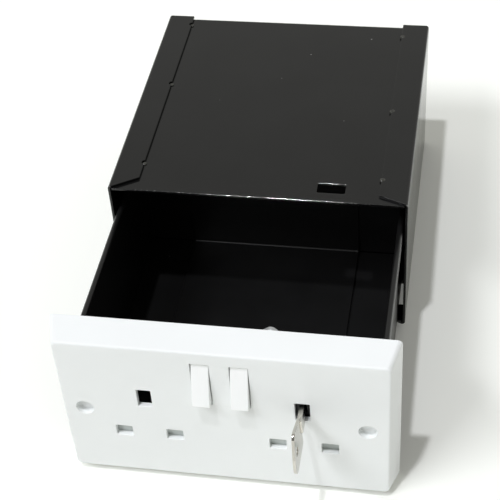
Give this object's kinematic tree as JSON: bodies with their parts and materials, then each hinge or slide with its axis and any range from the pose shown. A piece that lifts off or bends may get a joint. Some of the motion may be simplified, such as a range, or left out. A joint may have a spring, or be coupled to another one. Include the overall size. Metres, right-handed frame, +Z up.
{
  "type": "outlet diversion safe",
  "caption": "Steel drawer safe for a wall, its front an imitation two-gang switched socket with a key lock behind an earth hole.",
  "frame": {"origin": "centre of the bounding box in X and Y, at the bottom edge of the faceplate", "axes": "+X to the right seen from the front, +Y from the faceplate into the wall, +Z up"},
  "size_m": [0.146, 0.2622, 0.086],
  "materials": {
    "black_enamel": "satin black baked enamel on steel sheet",
    "white_plastic": "glossy moulded plastic",
    "rocker_plastic": "glossy moulded plastic",
    "inner_plastic": "plain moulded plastic",
    "lock_black": "black coated zinc casting",
    "zinc_steel": "zinc plated",
    "nickel": "nickel plated brass, tumbled"
  },
  "bodies": {
    "case": {"case_wrap": "black_enamel", "case_side_left": "black_enamel", "case_side_right": "black_enamel"},
    "drawer": {"faceplate": "white_plastic", "drawer_front_plate": "black_enamel", "drawer_centre_strip": "black_enamel", "drawer_side_left": "black_enamel", "drawer_side_right": "black_enamel", "socket_shutter_left": "inner_plastic", "socket_shutter_right": "inner_plastic", "rocker_retainer": "inner_plastic", "lock_housing": "lock_black", "lock_nut": "zinc_steel", "faceplate_screw_1": "zinc_steel", "faceplate_screw_2": "zinc_steel", "faceplate_screw_3": "zinc_steel", "faceplate_screw_4": "zinc_steel", "retainer_screw_1": "zinc_steel", "retainer_screw_2": "zinc_steel"},
    "lock": {"lock_plug": "lock_black", "lock_cam": "zinc_steel", "cam_washer": "zinc_steel", "cam_screw": "zinc_steel"},
    "key": {"key": "nickel"},
    "rocker_left": {"rocker_left": "rocker_plastic"},
    "rocker_right": {"rocker_right": "rocker_plastic"}
  },
  "joints": [
    {"name": "drawer_slide", "type": "slide", "parent": "case", "child": "drawer", "axis": [0, -1, 0], "range_m": [-0.083, 0.03]},
    {"name": "lock_turn", "type": "hinge", "parent": "drawer", "child": "lock", "pos_m": [0.0334, -0.0921, 0.0521], "axis": [0, 1, 0], "range_deg": [0, 37.3]},
    {"name": "key_pull", "type": "slide", "parent": "lock", "child": "key", "axis": [0, -1, 0], "range_m": [0, 0.032]},
    {"name": "rocker_left_tilt", "type": "hinge", "parent": "drawer", "child": "rocker_left", "pos_m": [-0.0081, -0.10257, 0.064], "axis": [1, 0, 0], "range_deg": [0, 28.4]},
    {"name": "rocker_right_tilt", "type": "hinge", "parent": "drawer", "child": "rocker_right", "pos_m": [0.0081, -0.10257, 0.064], "axis": [1, 0, 0], "range_deg": [0, 28.4]}
  ]
}
